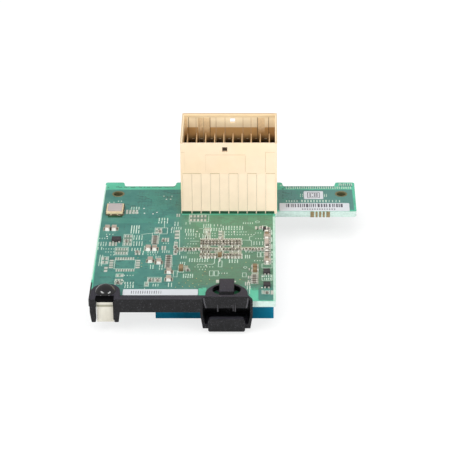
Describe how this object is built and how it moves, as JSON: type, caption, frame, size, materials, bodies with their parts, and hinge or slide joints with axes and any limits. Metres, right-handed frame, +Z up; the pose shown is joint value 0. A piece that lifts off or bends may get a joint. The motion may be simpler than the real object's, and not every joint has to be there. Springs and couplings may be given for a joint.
{
  "type": "mezzanine network card",
  "caption": "Green stacking network card with a tall cream board connector, a side wing with labels, a black front bracket with latch and rivet, and a blue heat sink below",
  "frame": {"origin": "centre of the bounding box in plan, on the plane of the heat sink's fin tips, which the card rests on", "axes": "+X along the card's width towards the side wing, +Y from the bracket towards the connector, +Z up out of the board's component side"},
  "size_m": [0.0642, 0.0628, 0.0272],
  "materials": {
    "laminate": "green solder mask over fibreglass, satin",
    "gold_plating": "thin gold plating, satin",
    "solder_tin": "tinned copper, dull bright",
    "connector_housing": "cream moulded plastic, satin",
    "connector_wafer": "cream moulded plastic, satin",
    "contact_metal": "gold-plated copper alloy",
    "bracket_plastic": "dark grey moulded plastic, fine grain",
    "rivet_plastic": "glossy black plastic",
    "clip_metal": "bright spring steel",
    "anodised_aluminium": "blue anodised, satin",
    "thermal_rubber": "soft grey",
    "chip_moulding": "black moulding compound",
    "ceramic_base": "fired grey ceramic",
    "lid_metal": "plated lid, satin",
    "capacitor_body": "fired ceramic, dull",
    "resistor_body": "dark glaze over ceramic",
    "bead_body": "brown ferrite, dull",
    "label_film": "white film label"
  },
  "bodies": {
    "root": {"circuit_board": "laminate", "hole_rims": "solder_tin", "edge_contacts": "gold_plating", "connector_shroud": "connector_housing", "connector_wafers": "connector_wafer", "connector_contacts": "contact_metal", "front_bracket": "bracket_plastic", "bracket_rivet": "rivet_plastic", "edge_clip": "clip_metal", "heat_sink": "anodised_aluminium", "thermal_pad": "thermal_rubber", "controller_chip": "chip_moulding", "oscillator_base": "ceramic_base", "oscillator_lid": "lid_metal", "large_capacitors": "capacitor_body", "large_capacitor_ends": "solder_tin", "small_capacitors": "capacitor_body", "small_capacitor_ends": "solder_tin", "chip_resistors": "resistor_body", "chip_resistor_ends": "solder_tin", "ferrite_beads": "bead_body", "small_packages": "chip_moulding", "package_leads": "solder_tin", "flash_memory": "chip_moulding", "flash_memory_leads": "solder_tin", "voltage_regulator": "chip_moulding", "power_inductors": "bead_body", "front_label": "label_film", "bar_label": "label_film", "code_label": "label_film"}
  },
  "joints": []
}
